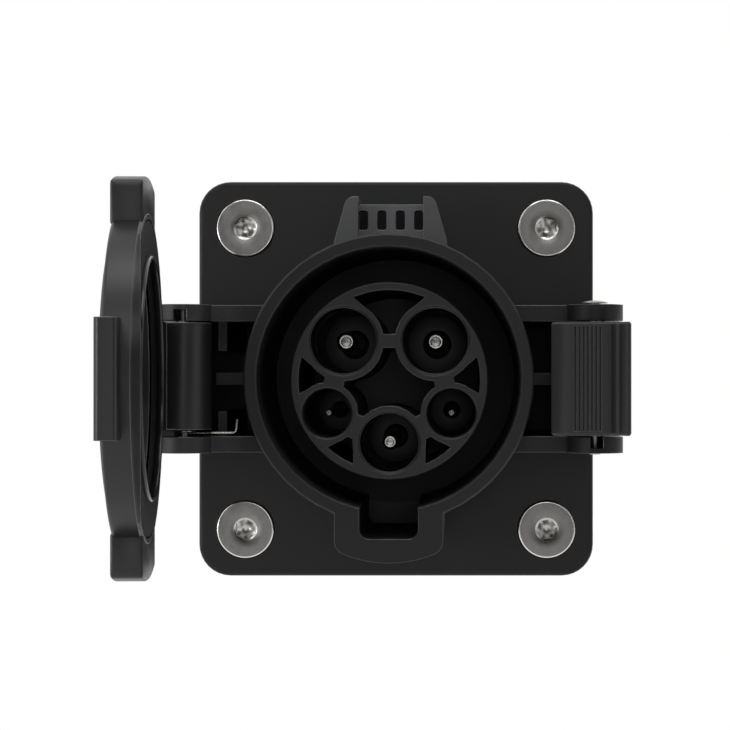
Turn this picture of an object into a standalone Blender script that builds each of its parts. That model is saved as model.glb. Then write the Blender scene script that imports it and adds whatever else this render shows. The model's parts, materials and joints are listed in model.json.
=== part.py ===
"""Five-pin vehicle charging inlet with a square flange, a hinged lid and a latch lever.

The model is drawn lying on its back: X is to the right, Y is up the front of the inlet and Z
points out of the panel. The empty inlet_frame stands it up, so that in the world the panel is the
plane Y = 0, the inlet faces -Y and +Z is up. The lid is drawn closed and turned open on its hinge.
All sizes are in metres.
"""

import math

import bmesh
import bpy
from mathutils import Vector

# Clearances
seat_gap = 0.0003
cone_gap = 0.00045
running_gap = 0.00035

# Flange
flange_side = 0.0752
flange_corner = 0.006
flange_thickness = 0.0045
flange_edge = 0.0006
hole_inset = 0.00885
hole_pitch = flange_side - 2 * hole_inset

# Shroud
shroud_height = 0.045
shroud_outer = 0.0494
shroud_inner = 0.0448
shroud_floor = 0.0055
shroud_floor_thickness = 0.0025
shroud_wall = (shroud_outer - shroud_inner) / 2
rim_edge = 0.00025

# Rear barrel
barrel_wall = 0.0050
barrel_inner = 0.0400
barrel_outer = barrel_inner + 2 * barrel_wall
barrel_length = 0.0220

# Keyway lug under the shroud
lug_width = 0.0185
lug_reach = 0.0313
lug_corner = 0.0024
lug_foot_radius = 0.0205
key_width = 0.0100
key_reach = 0.0272
key_corner = 0.0017

# Latch catch over the shroud
catch_inner_width = 0.0114
catch_top_width = 0.0153
catch_base_width = 0.0197
catch_base_rise = 0.0242
catch_corner = 0.0017
catch_top = 0.0319
catch_plate_top = 0.0307
catch_front = 0.0385
catch_depth = 0.0185
catch_plate_set = 0.0030
catch_plate_thickness = 0.0025
catch_slots = 4
catch_slot_pitch = 0.00326
catch_slot_width = 0.0016
catch_slot_height = 0.0034
catch_slot_centre = 0.0279

# Bracket arms and their pins
axis_offset = 0.0351
axis_setback = 0.0022
arm_inner = 0.00985
arm_outer = 0.0126
arm_boss = 0.0048
arm_drop = 0.0012
arm_foot = 0.0372
pin_diameter = 0.0020
pin_head = 0.0044
pin_head_height = 0.0007
pin_stub = 0.0009
pin_window = 0.0022
pin_window_height = 0.0019
gusset_thickness = 0.0021
gusset_front = 0.0380
gusset_reach = 0.0305
bracket_wall = 0.0016
bracket_wall_drop = 0.0060
stop_rib_width = 0.0015
stop_rib_front = 0.0400
stop_rib_start = 0.0284
upper_rib_height = 0.0050
lower_rib_height = 0.0042

# Contact insulator
core_diameter = 0.0340
core_wall = 0.00145
core_recess = 0.0030
core_drop = 0.0003
core_body = barrel_inner - 2 * seat_gap
core_rear = 0.0180
core_split = 0.0040
ring_wall = 0.0011
ring_root = 0.98
upper_web = 0.0023
side_web = 0.0034
lower_web = 0.0042
well_edge = 0.00025

# Contacts
power_spread = 0.01570
power_rise = 0.0068
signal_spread = 0.02130
signal_drop = 0.0056
ground_drop = 0.0106
power_well = 0.0116
ground_well = 0.0104
signal_well = 0.0084
power_pin = 0.0036
ground_pin = 0.0028
signal_pin = 0.0015
power_tip_depth = 0.0095
ground_tip_depth = 0.0050
signal_tip_depth = 0.0060
power_tail = 0.0064
ground_tail = 0.0056
signal_tail = 0.0034
tail_end = 0.0340
tail_wall = 0.0009
crimp_depth = 0.0090
tail_front = 0.0005
neck_step = 0.0006

# Seals
seal_wall = 0.0018
seal_length = 0.0075
o_ring_section = 0.0020
o_ring_height = -0.0050
gasket_width = 0.0036
gasket_thickness = 0.0014

# Rear retainer and its screws
retainer_thickness = 0.0040
retainer_screws = 3
retainer_screw_circle = barrel_inner + barrel_wall
retainer_screw_thread = 0.0022
retainer_screw_head = 0.0040
retainer_screw_length = 0.0100
retainer_screw_head_height = 0.0016
retainer_socket = 0.0020

# Mounting screws
screw_thread = 0.0060
screw_head = 0.0105
screw_length = 0.0180
screw_proud = 0.0004
screw_socket = 0.0038
screw_socket_depth = 0.0022
screw_edge = 0.00025

# Lid
lid_opening = 87.0
lid_thickness = 0.0047
lid_radius = 0.0257
lid_rim = 0.0016
lid_edge = 0.0004
lid_lip = 0.00115
lid_lip_start = 0.0144
lid_lip_gap = 0.0004
lid_ear_width = 0.0200
lid_ear_reach = 0.0303
lid_ear_arch = 0.0380
lid_ear_corner = 0.0010
lid_ear_set = 0.0001
lid_crown_radius = 0.0215
lid_crown = 0.0007
lid_crown_edge = 0.0002
lid_recess_radius = 0.0185
lid_recess = 0.0036
leaf_thickness = 0.0030
leaf_overlap = 0.0030
knuckle_top = 0.0095
knuckle_bottom = 0.0086
tongue_half_height = 0.0087
tongue_end = 0.0296
tongue_root = 0.0235
tongue_thickness = 0.0033
tongue_proud = 0.0005

# Lid seal
lid_seal_outer = 0.0243
lid_seal_thickness = 0.0014
lid_seal_bead = 0.0006
lid_seal_proud = 0.00025

# Latch lever
latch_half_height = 0.00945
latch_knuckle = 0.0042
nose_reach = 0.0078
nose_overlap_gap = 0.0004
pad_rise = 0.0028
lip_reach = 0.0054
lip_rise = 0.0009
lip_width = 0.0025
latch_cavity_half_height = 0.0042
rib_count = 7
rib_pitch = 0.00069
rib_depth = 0.0004
rib_start = 0.0310
rib_half_height = 0.0087

# Springs
spring_wire = 0.0005
spring_coil = 0.0038
hinge_spring_turns = 5
hinge_spring_pitch = 0.00062
latch_spring_turns = 6
latch_spring_pitch = 0.00075
bore_gap = 0.0006

# Roundness of the model
fine_steps = 48
round_steps = 24
small_steps = 16
arc_step = math.radians(12)
arch_step = math.radians(4)
corner_step = math.radians(20)
rim_step = math.radians(23)
merge_distance = 0.000001
past = 0.002

# Heights worked out from the sizes above
front = flange_thickness + shroud_height
floor_top = flange_thickness + shroud_floor
floor_bottom = floor_top - shroud_floor_thickness
core_front = front - core_recess
axis_height = front - axis_setback
catch_plate_front = catch_front - catch_plate_set
lid_inner = front + seat_gap
lid_outer = lid_inner + lid_thickness
lid_top = lid_outer + lid_crown
tongue_top = lid_outer + tongue_proud
nose_underside = tongue_top + nose_overlap_gap
retainer_front = -barrel_length - seat_gap
retainer_rear = retainer_front - retainer_thickness

# The contacts: name, X, Y, well, pin, depth of the tip behind the core's face, tail
contacts = [
    ("line_1", -power_spread / 2, power_rise, power_well, power_pin, power_tip_depth, power_tail),
    ("line_2", power_spread / 2, power_rise, power_well, power_pin, power_tip_depth, power_tail),
    ("ground", 0.0, -ground_drop, ground_well, ground_pin, ground_tip_depth, ground_tail),
    ("pilot", signal_spread / 2, -signal_drop, signal_well, signal_pin, signal_tip_depth, signal_tail),
    ("proximity", -signal_spread / 2, -signal_drop, signal_well, signal_pin, signal_tip_depth,
     signal_tail),
]


# Scene and collections

for old_object in list(bpy.data.objects):
    bpy.data.objects.remove(old_object)

parts = bpy.data.collections.new("charging_inlet")
cutters = bpy.data.collections.new("cutters")
bpy.context.scene.collection.children.link(parts)
bpy.context.scene.collection.children.link(cutters)


def empty(name, parent=None, location=(0, 0, 0), rotation=(0, 0, 0)):
    """Axis that other objects are parented to."""
    axis = bpy.data.objects.new(name, None)
    axis.empty_display_size = 0.01
    axis.parent = parent
    axis.location = location
    axis.rotation_euler = rotation
    parts.objects.link(axis)
    return axis


inlet_frame = empty("inlet_frame", rotation=(math.radians(90), 0, 0))
lid_hinge = empty("lid_hinge", inlet_frame, (-axis_offset, 0, axis_height),
                  (0, math.radians(-lid_opening), 0))
latch_axis = empty("latch_axis", inlet_frame, (axis_offset, 0, axis_height))


# Materials

def material(name, colour, roughness, metallic=0.0):
    """Principled material of one colour."""
    finish = bpy.data.materials.new(name)
    finish.use_nodes = True
    shader = finish.node_tree.nodes["Principled BSDF"]
    shader.inputs["Base Color"].default_value = (*colour, 1)
    shader.inputs["Roughness"].default_value = roughness
    shader.inputs["Metallic"].default_value = metallic
    return finish


def smooth_group():
    """Node group that shades a piece smooth up to its sharp edges."""
    group = bpy.data.node_groups.new("smooth_by_angle", "GeometryNodeTree")
    group.interface.new_socket("Geometry", in_out="INPUT", socket_type="NodeSocketGeometry")
    group.interface.new_socket("Geometry", in_out="OUTPUT", socket_type="NodeSocketGeometry")
    enter = group.nodes.new("NodeGroupInput")
    leave = group.nodes.new("NodeGroupOutput")
    angle = group.nodes.new("GeometryNodeInputMeshEdgeAngle")
    small = group.nodes.new("FunctionNodeCompare")
    small.operation = "LESS_THAN"
    small.inputs["B"].default_value = math.radians(30)
    faces = group.nodes.new("GeometryNodeSetShadeSmooth")
    edges = group.nodes.new("GeometryNodeSetShadeSmooth")
    edges.domain = "EDGE"
    group.links.new(enter.outputs["Geometry"], faces.inputs["Geometry"])
    group.links.new(faces.outputs["Geometry"], edges.inputs["Geometry"])
    group.links.new(angle.outputs["Unsigned Angle"], small.inputs["A"])
    group.links.new(small.outputs["Result"], edges.inputs["Shade Smooth"])
    group.links.new(edges.outputs["Geometry"], leave.inputs["Geometry"])
    return group


smooth_by_angle = smooth_group()


# Outlines

def arc(centre_x, centre_y, radius, start, end, step=arc_step):
    """Points along an arc between two angles in degrees."""
    sweep = math.radians(end - start)
    steps = max(2, math.ceil(abs(sweep) / step))
    points = []
    for i in range(steps + 1):
        angle = math.radians(start) + sweep * i / steps
        points.append((centre_x + radius * math.cos(angle), centre_y + radius * math.sin(angle)))
    return points


def rounded(corners):
    """Outline through corners given as (x, y, radius), each turned on its own arc."""
    points = []
    for i, (x, y, radius) in enumerate(corners):
        here = Vector((x, y))
        if radius == 0:
            points.append((x, y))
            continue
        back = (Vector(corners[i - 1][:2]) - here).normalized()
        ahead = (Vector(corners[(i + 1) % len(corners)][:2]) - here).normalized()
        half = back.angle(ahead) / 2
        centre = here + (back + ahead).normalized() * (radius / math.sin(half))
        first = here + back * (radius / math.tan(half)) - centre
        turn = math.copysign(math.pi - 2 * half, back.cross(ahead))
        start = math.degrees(math.atan2(first.y, first.x))
        points += arc(centre.x, centre.y, radius, start, start - math.degrees(turn))
    return points


def box_outline(left, right, bottom, top, corner=0.0):
    """Rectangle with equal corners."""
    return rounded([(left, bottom, corner), (right, bottom, corner),
                    (right, top, corner), (left, top, corner)])


def mirrored(outline):
    """The outline on the other side of the inlet."""
    return [(-x, y) for x, y in reversed(outline)]


# Solids

def place(name, mesh, finish=None, parent=inlet_frame, location=(0, 0, 0), rotation=(0, 0, 0)):
    """Object in the parts, or in the cutters when it has no finish."""
    item = bpy.data.objects.new(name, mesh)
    item.parent = parent
    item.location = location
    item.rotation_euler = rotation
    if finish is None:
        cutters.objects.link(item)
        item.display_type = "WIRE"
        item.hide_render = True
    else:
        parts.objects.link(item)
        mesh.materials.append(finish)
    return item


def mesh_of(curve, name):
    """Mesh of a curve with its caps welded on."""
    drawn = bpy.data.objects.new(name, curve)
    cutters.objects.link(drawn)
    evaluated = drawn.evaluated_get(bpy.context.evaluated_depsgraph_get())
    mesh = bpy.data.meshes.new_from_object(evaluated)
    bpy.data.objects.remove(drawn)
    bpy.data.curves.remove(curve)
    shape = bmesh.new()
    shape.from_mesh(mesh)
    bmesh.ops.remove_doubles(shape, verts=shape.verts, dist=merge_distance)
    bmesh.ops.dissolve_limit(shape, angle_limit=math.radians(0.1), verts=shape.verts,
                             edges=shape.edges)
    bmesh.ops.recalc_face_normals(shape, faces=shape.faces)
    shape.to_mesh(mesh)
    shape.free()
    mesh.name = name
    return mesh


def slab(name, outline, low, high, finish=None, parent=inlet_frame, location=(0, 0, 0),
         upright=False):
    """Flat outline given thickness along Z, or along Y when upright and drawn in X and Z."""
    curve = bpy.data.curves.new(name, "CURVE")
    curve.dimensions = "2D"
    curve.fill_mode = "BOTH"
    curve.extrude = (high - low) / 2
    spline = curve.splines.new("POLY")
    spline.points.add(len(outline) - 1)
    for point, (x, y) in zip(spline.points, outline):
        point.co = (x, y, 0, 1)
    spline.use_cyclic_u = True
    middle = (high + low) / 2
    x, y, z = location
    if upright:
        where = (x, y + middle, z)
        turn = (math.radians(90), 0, 0)
    else:
        where = (x, y, z + middle)
        turn = (0, 0, 0)
    return place(name, mesh_of(curve, name), finish, parent, where, turn)


def turned(name, profile, finish=None, parent=inlet_frame, location=(0, 0, 0), steps=round_steps,
           along_y=False):
    """Profile of (radius, height) turned about Z, or about Y; it runs down its outer side."""
    mesh = bpy.data.meshes.new(name)
    edges = [(i, i + 1) for i in range(len(profile) - 1)]
    if profile[0][0] > 0:
        edges.append((len(profile) - 1, 0))
    mesh.from_pydata([(radius, 0, height) for radius, height in profile], edges, [])
    rotation = (math.radians(-90), 0, 0) if along_y else (0, 0, 0)
    item = place(name, mesh, finish, parent, location, rotation)
    screw = item.modifiers.new("Turn", "SCREW")
    screw.steps = steps
    screw.render_steps = steps
    screw.use_merge_vertices = True
    screw.merge_threshold = merge_distance
    return item


def rod(name, diameter, low, high, finish=None, parent=inlet_frame, location=(0, 0, 0),
        steps=small_steps, along_y=False):
    """Plain cylinder between two heights."""
    radius = diameter / 2
    profile = [(0, high), (radius, high), (radius, low), (0, low)]
    return turned(name, profile, finish, parent, location, steps, along_y)


def wire(name, points, diameter, finish, parent=inlet_frame):
    """Round wire along the points."""
    curve = bpy.data.curves.new(name, "CURVE")
    curve.dimensions = "3D"
    curve.bevel_depth = diameter / 2
    curve.bevel_resolution = 2
    curve.use_fill_caps = True
    spline = curve.splines.new("POLY")
    spline.points.add(len(points) - 1)
    for point, place_on_wire in zip(spline.points, points):
        point.co = (*place_on_wire, 1)
    curve.materials.append(finish)
    item = bpy.data.objects.new(name, curve)
    item.parent = parent
    parts.objects.link(item)
    return item


def boolean(piece, tools, operation):
    """Joins the tools to the piece, or cuts them out of it."""
    for tool in tools:
        step = piece.modifiers.new(tool.name, "BOOLEAN")
        step.object = tool
        step.operation = operation


def round_edges(piece, width, segments=2, angle=40):
    """Rounds every edge sharper than the angle."""
    bevel = piece.modifiers.new("Edges", "BEVEL")
    bevel.width = width
    bevel.segments = segments
    bevel.limit_method = "ANGLE"
    bevel.angle_limit = math.radians(angle)


def shade(piece):
    """Shades round faces smooth and keeps sharp edges."""
    smooth = piece.modifiers.new("Smooth", "NODES")
    smooth.node_group = smooth_by_angle


def corners_of_square(pitch):
    """Four places on a square, with the name of each."""
    half = pitch / 2
    return [("upper_left", -half, half), ("upper_right", half, half),
            ("lower_left", -half, -half), ("lower_right", half, -half)]


# Housing: flange, shroud, rear barrel, keyway lug, latch catch and bracket arms in one moulding

def shroud_profile():
    """Section of the shroud and the rear barrel before they are bored."""
    outer = shroud_outer / 2
    rear_outer = barrel_outer / 2
    step = flange_thickness / 2
    return [
        (0, front),
        (outer - rim_edge, front),
        (outer, front - rim_edge),
        (outer, step),
        (rear_outer, step),
        (rear_outer, -barrel_length),
        (0, -barrel_length),
    ]


def bore_cutters():
    """The annular space round the core, the core's own bore and the rear bore."""
    inner = shroud_inner / 2
    mouth = inner + rim_edge
    annulus = [(0, front + past), (mouth, front + past), (mouth, front), (inner, front - rim_edge),
               (inner, floor_top), (0, floor_top)]
    below = (0, -core_drop, 0)
    return [turned("annulus", annulus, steps=fine_steps),
            rod("core_bore", core_diameter + 2 * seat_gap, floor_bottom - past, floor_top + past,
                location=below, steps=fine_steps),
            rod("rear_bore", barrel_inner, -barrel_length - past, floor_bottom, location=below,
                steps=fine_steps)]


def shroud_root(half_width):
    """Distance from the axis at which a rib of this half width is rooted in the shroud wall."""
    middle = shroud_inner / 2 + shroud_wall / 2
    return math.sqrt(middle ** 2 - half_width ** 2)


def arched_end(half, reach, radius, corner):
    """Domed end of a bar that points up, from its right side over the top to its left side."""
    middle = reach - radius
    across = half - corner
    height = middle + math.sqrt((radius - corner) ** 2 - across ** 2)
    meet = math.degrees(math.atan2(height - middle, across))
    right = arc(across, height, corner, 0, meet, corner_step)
    top = arc(0, middle, radius, meet, 180 - meet, arch_step)
    left = arc(-across, height, corner, 180 - meet, 180, corner_step)
    return right + top[1:-1] + left


def lug_outline():
    """Outer outline of the keyway lug, from inside the shroud wall to its curved foot."""
    half = lug_width / 2
    foot = arched_end(half, lug_reach, lug_foot_radius, lug_corner)
    return [(-half, -shroud_root(half))] + [(-x, -y) for x, y in foot] + [(half, -shroud_root(half))]


def cheek_outline():
    """Right cheek of the latch catch, leaning in towards its rounded top."""
    inner = catch_inner_width / 2
    half = catch_base_width / 2
    inside = shroud_root(half)
    return rounded([(inner, inside, 0), (half, inside, 0), (half, catch_base_rise, 0),
                    (catch_top_width / 2, catch_top, catch_corner), (inner, catch_top, 0)])


def arm_outline():
    """Left bracket arm seen from above: boss round the pin, front edge and foot on the flange."""
    foot = flange_thickness - seat_gap
    edge = axis_height - arm_drop
    meet = math.degrees(math.asin(-arm_drop / arm_boss))
    boss = arc(-axis_offset, axis_height, arm_boss, 180, meet)
    inside = -shroud_root(arm_outer)
    return [(-arm_foot, foot)] + boss + [(inside, edge), (inside, foot)]


def gusset_outline():
    """Left middle rib between the arms, seen from above."""
    foot = flange_thickness - seat_gap
    inside = -shroud_root(gusset_thickness / 2)
    return [(-gusset_reach, foot), (-gusset_reach, gusset_front), (inside, gusset_front), (inside, foot)]


def build_housing(finish):
    """The moulded housing and everything cut out of it."""
    housing = slab("inlet_housing",
                   box_outline(-flange_side / 2, flange_side / 2, -flange_side / 2, flange_side / 2,
                               flange_corner),
                   0, flange_thickness, finish)
    round_edges(housing, flange_edge)
    joined = [turned("shroud", shroud_profile(), steps=fine_steps)]
    joined.append(slab("lug", lug_outline(), flange_thickness - seat_gap, front))
    for side, outline in (("left", mirrored(cheek_outline())), ("right", cheek_outline())):
        joined.append(slab("cheek_" + side, outline, catch_front - catch_depth, catch_front))
    plate_half = catch_inner_width / 2 + seat_gap
    plate = box_outline(-plate_half, plate_half, shroud_root(0), catch_plate_top)
    joined.append(slab("catch_plate", plate, catch_plate_front - catch_plate_thickness,
                       catch_plate_front))
    joined.append(slab("catch_back", plate, catch_front - catch_depth,
                       catch_front - catch_depth + catch_plate_thickness))
    for side, outline in (("left", arm_outline()), ("right", mirrored(arm_outline()))):
        joined.append(slab("upper_arm_" + side, outline, arm_inner, arm_outer, upright=True))
        joined.append(slab("lower_arm_" + side, outline, -arm_outer, -arm_inner, upright=True))
    wall = box_outline(-arm_foot, -arm_foot + bracket_wall, flange_thickness - seat_gap,
                       axis_height - bracket_wall_drop)
    for side, outline in (("left", wall), ("right", mirrored(wall))):
        joined.append(slab("bracket_wall_" + side, outline, -arm_inner - seat_gap,
                           arm_inner + seat_gap, upright=True))
    for side, outline in (("left", gusset_outline()), ("right", mirrored(gusset_outline()))):
        joined.append(slab("gusset_" + side, outline, -gusset_thickness / 2, gusset_thickness / 2,
                           upright=True))
    foot = flange_thickness - seat_gap
    rib = box_outline(-stop_rib_start - stop_rib_width, -stop_rib_start, foot, stop_rib_front)
    joined.append(slab("upper_rib", rib, arm_inner - upper_rib_height, arm_inner + seat_gap,
                       upright=True))
    joined.append(slab("lower_rib", rib, -arm_inner - seat_gap, -arm_inner + lower_rib_height,
                       upright=True))
    boolean(housing, joined, "UNION")
    boolean(housing, housing_cutters(), "DIFFERENCE")
    shade(housing)


def housing_cutters():
    """Key slot, inner bore, catch slots, pin bores, screw holes and gasket groove."""
    cuts = [slab("key_slot",
                 box_outline(-key_width / 2, key_width / 2, -key_reach, -shroud_inner / 2 + key_corner,
                             key_corner),
                 floor_top, front + past)]
    cuts += bore_cutters()
    first = -(catch_slots - 1) / 2 * catch_slot_pitch
    for i in range(catch_slots):
        middle = first + i * catch_slot_pitch
        outline = box_outline(middle - catch_slot_width / 2, middle + catch_slot_width / 2,
                              catch_slot_centre - catch_slot_height / 2,
                              catch_slot_centre + catch_slot_height / 2, catch_slot_width * 0.3)
        cuts.append(slab("catch_slot_%d" % (i + 1), outline,
                         catch_plate_front - catch_plate_thickness - past,
                         catch_plate_front + past))
    bore = pin_diameter + 2 * seat_gap
    for side, x in (("left", -axis_offset), ("right", axis_offset)):
        cuts.append(rod("pin_bore_" + side, bore, -arm_outer - past, arm_outer + past,
                        location=(x, 0, axis_height), along_y=True))
    half = pin_window / 2
    upper = rounded([(-half, axis_height, 0), (half, axis_height, 0),
                     (half, axis_height + arm_boss + past, 0),
                     (-half, axis_height + arm_boss + past, 0)])
    cuts.append(slab("hinge_pin_window", upper, arm_inner - seat_gap, arm_inner + pin_window_height,
                     location=(-axis_offset, 0, 0), upright=True))
    cuts.append(slab("latch_pin_window", upper, -arm_inner - pin_window_height,
                     -arm_inner + seat_gap, location=(axis_offset, 0, 0), upright=True))
    hole = screw_thread / 2 + seat_gap
    mouth = screw_head / 2 + cone_gap
    for name, x, y in corners_of_square(hole_pitch):
        rim = flange_thickness
        cone = [(0, rim + past), (mouth, rim + past), (mouth, rim), (hole, rim - mouth + hole),
                (hole, -past), (0, -past)]
        cuts.append(turned("screw_hole_" + name, cone, location=(x, y, 0), steps=round_steps))
    inner = gasket_inner() - seat_gap
    outer = gasket_inner() + gasket_width + seat_gap
    depth = gasket_thickness + seat_gap
    groove = [(outer, depth), (outer, -past), (inner, -past), (inner, depth)]
    cuts.append(turned("gasket_groove", groove, steps=fine_steps))
    screw_bore = retainer_screw_thread + 2 * seat_gap
    for i, (x, y) in enumerate(retainer_screw_places()):
        cuts.append(rod("retainer_screw_bore_%d" % (i + 1), screw_bore, -barrel_length - past,
                        -barrel_length + retainer_screw_length, location=(x, y, 0)))
    return cuts


def gasket_inner():
    """Inner radius of the gasket, halfway between the barrel and the screw holes."""
    hole_edge = hole_pitch / math.sqrt(2) - screw_thread / 2
    return (barrel_outer / 2 + hole_edge - gasket_width) / 2


def retainer_screw_places():
    """Places of the rear screws, the first at the top."""
    places = []
    for i in range(retainer_screws):
        angle = math.radians(90 + 360 * i / retainer_screws)
        places.append((retainer_screw_circle / 2 * math.cos(angle),
                       retainer_screw_circle / 2 * math.sin(angle)))
    return places


# Contact insulator: core with five wells, open webs between them and the rear seats

def build_insulator(finish):
    """The core, dropped a little below the shroud's axis: five wells tied together by webs."""
    radius = core_diameter / 2
    body = core_body / 2
    shoulder = floor_bottom - seat_gap
    profile = [
        (0, core_front),
        (radius - rim_edge, core_front),
        (radius, core_front - rim_edge),
        (radius, shoulder),
        (body, shoulder),
        (body, core_split),
        (0, core_split),
    ]
    below = (0, -core_drop, 0)
    insulator = turned("contact_insulator", profile, finish, location=below, steps=fine_steps)
    low = core_split - past
    high = core_front + past
    pocket = rod("core_pocket", core_diameter - 2 * core_wall, low, high, location=below,
                 steps=fine_steps)
    kept = web_solids(low - past, high + past)
    for name, x, y, well, _, _, _ in contacts:
        kept.append(rod(name + "_ring", well + 2 * ring_wall, low - past, high + past,
                        location=(x, y - core_drop, 0), steps=round_steps))
    boolean(pocket, kept, "DIFFERENCE")
    cuts = [pocket]
    for name, x, y, well, _, _, _ in contacts:
        mouth = [(0, high), (well / 2 + well_edge, high), (well / 2 + well_edge, core_front),
                 (well / 2, core_front - well_edge), (well / 2, low), (0, low)]
        cuts.append(turned(name + "_well", mouth, location=(x, y - core_drop, 0), steps=round_steps))
    boolean(insulator, cuts, "DIFFERENCE")
    shade(insulator)


def build_carrier(finish):
    """Rear half of the core, which holds the contacts' tails, their seals and the O-ring."""
    body = core_body / 2
    top = core_split - seat_gap
    groove_bottom = barrel_inner / 2 - seat_gap - o_ring_section - seat_gap
    groove_half = o_ring_section / 2 + seat_gap
    profile = [
        (0, top),
        (body, top),
        (body, o_ring_height + groove_half),
        (groove_bottom, o_ring_height + groove_half),
        (groove_bottom, o_ring_height - groove_half),
        (body, o_ring_height - groove_half),
        (body, -core_rear),
        (0, -core_rear),
    ]
    carrier = turned("terminal_carrier", profile, finish, location=(0, -core_drop, 0),
                     steps=fine_steps)
    cuts = []
    for name, x, y, _, pin, _, tail in contacts:
        pocket = tail / 2 - neck_step + seal_wall + 2 * seat_gap
        bore = [
            (0, top + past),
            (pin / 2 + seat_gap, top + past),
            (pin / 2 + seat_gap, tail_front),
            (tail / 2 + seat_gap, tail_front),
            (tail / 2 + seat_gap, seal_front() + seat_gap),
            (pocket, seal_front() + seat_gap),
            (pocket, -core_rear - past),
            (0, -core_rear - past),
        ]
        cuts.append(turned(name + "_bore", bore, location=(x, y - core_drop, 0), steps=small_steps))
    boolean(carrier, cuts, "DIFFERENCE")
    shade(carrier)


def seal_front():
    """Height of the wire seals' front faces."""
    return retainer_front + seal_length


def web_solids(low, high):
    """Walls that tie the rings to each other and to the wall of the core."""
    runs = [("upper_web", upper_web, (-power_spread / 2, power_rise), (power_spread / 2, power_rise))]
    for side in (-1, 1):
        power = (side * power_spread / 2, power_rise)
        signal = (side * signal_spread / 2, -signal_drop)
        runs.append(("side_web_%d" % (side + 2), side_web, power, signal))
        runs.append(("lower_web_%d" % (side + 2), lower_web, signal, (0, -ground_drop)))
    for name, x, y, well, _, _, _ in contacts:
        reach = (core_diameter - core_wall) / 2 / math.hypot(x, y)
        runs.append((name + "_root", (well + 2 * ring_wall) * ring_root, (x, y), (x * reach, y * reach)))
    walls = []
    for name, width, start, end in runs:
        along = Vector((end[0] - start[0], end[1] - start[1])).normalized()
        across = Vector((-along.y, along.x)) * width / 2
        outline = [(start[0] + across.x, start[1] + across.y), (start[0] - across.x, start[1] - across.y),
                   (end[0] - across.x, end[1] - across.y), (end[0] + across.x, end[1] + across.y)]
        walls.append(slab(name, outline, low, high, location=(0, -core_drop, 0)))
    return walls


def build_contacts(silver):
    """Turned pins with a shoulder in the insulator and a crimp barrel behind."""
    for name, x, y, _, pin, tip_depth, tail in contacts:
        tip = core_front - tip_depth
        radius = pin / 2
        nose = radius * 0.66
        neck = tail / 2 - neck_step
        hollow = neck - tail_wall
        profile = [
            (0, tip),
            (nose, tip),
            (radius, tip - radius),
            (radius, tail_front - seat_gap),
            (tail / 2, tail_front - seat_gap),
            (tail / 2, seal_front() + 2 * seat_gap),
            (neck, seal_front() + 2 * seat_gap),
            (neck, -tail_end),
            (hollow, -tail_end),
            (hollow, -tail_end + crimp_depth),
            (0, -tail_end + crimp_depth),
        ]
        piece = turned(name + "_pin", profile, silver, location=(x, y - core_drop, 0),
                       steps=small_steps)
        shade(piece)


def build_seals(rubber):
    """Wire seals round the tails, the insulator's O-ring and the panel gasket."""
    for name, x, y, _, _, _, tail in contacts:
        inner = tail / 2 - neck_step + seat_gap
        outer = inner + seal_wall
        low = retainer_front + seat_gap
        high = seal_front()
        profile = [(outer, high), (outer, low), (inner, low), (inner, high)]
        shade(turned(name + "_seal", profile, rubber, location=(x, y - core_drop, 0),
                     steps=small_steps))
    section = o_ring_section / 2
    middle = barrel_inner / 2 - seat_gap - section
    ring = [(middle + section * math.cos(math.radians(-a)), o_ring_height
             + section * math.sin(math.radians(-a))) for a in range(0, 360, 45)]
    shade(turned("insulator_o_ring", ring, rubber, location=(0, -core_drop, 0), steps=round_steps))
    inner = gasket_inner()
    outer = inner + gasket_width
    gasket = [(outer, gasket_thickness), (outer, 0), (inner, 0), (inner, gasket_thickness)]
    shade(turned("panel_gasket", gasket, rubber, steps=fine_steps))


def build_retainer(finish, steel):
    """Plate that closes the barrel behind the wire seals, and its three screws."""
    radius = barrel_outer / 2
    spigot = core_body / 2
    low = retainer_rear
    profile = [(0, retainer_front), (radius, retainer_front), (radius, low + 2 * rim_edge),
               (radius - 2 * rim_edge, low), (0, low)]
    plate = turned("rear_retainer", profile, finish, steps=fine_steps)
    ledge = rod("retainer_spigot", 2 * spigot - 2 * seat_gap, retainer_front - seat_gap,
                -core_rear - seat_gap, location=(0, -core_drop, 0), steps=fine_steps)
    boolean(plate, [ledge], "UNION")
    cuts = []
    for name, x, y, _, _, _, tail in contacts:
        neck = tail / 2 - neck_step
        pocket = neck + seal_wall + 2 * seat_gap
        hole = neck + 2 * seat_gap
        bore = [(0, -core_rear + past), (pocket, -core_rear + past), (pocket, retainer_front),
                (hole, retainer_front), (hole, low - past), (0, low - past)]
        cuts.append(turned(name + "_outlet", bore, location=(x, y - core_drop, 0), steps=small_steps))
    for i, (x, y) in enumerate(retainer_screw_places()):
        shank = retainer_screw_thread / 2
        head = retainer_screw_head / 2
        cuts.append(rod("retainer_hole_%d" % (i + 1), 2 * shank + 2 * seat_gap, low - past,
                        retainer_front + past, location=(x, y, 0)))
        head_low = low - seat_gap - retainer_screw_head_height
        screw_profile = [
            (0, -barrel_length + retainer_screw_length - past),
            (shank * 0.6, -barrel_length + retainer_screw_length - past),
            (shank, -barrel_length + retainer_screw_length - past - shank * 0.4),
            (shank, low - seat_gap),
            (head, low - seat_gap),
            (head, head_low + rim_edge),
            (head - rim_edge, head_low),
            (0, head_low),
        ]
        screw = turned("retainer_screw_%d" % (i + 1), screw_profile, steel, location=(x, y, 0),
                       steps=small_steps)
        socket = rod("retainer_socket_%d" % (i + 1), retainer_socket / math.cos(math.pi / 6),
                     head_low - past, head_low + retainer_screw_head_height * 0.7,
                     location=(x, y, 0), steps=6)
        boolean(screw, [socket], "DIFFERENCE")
        shade(screw)
    boolean(plate, cuts, "DIFFERENCE")
    shade(plate)


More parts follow.
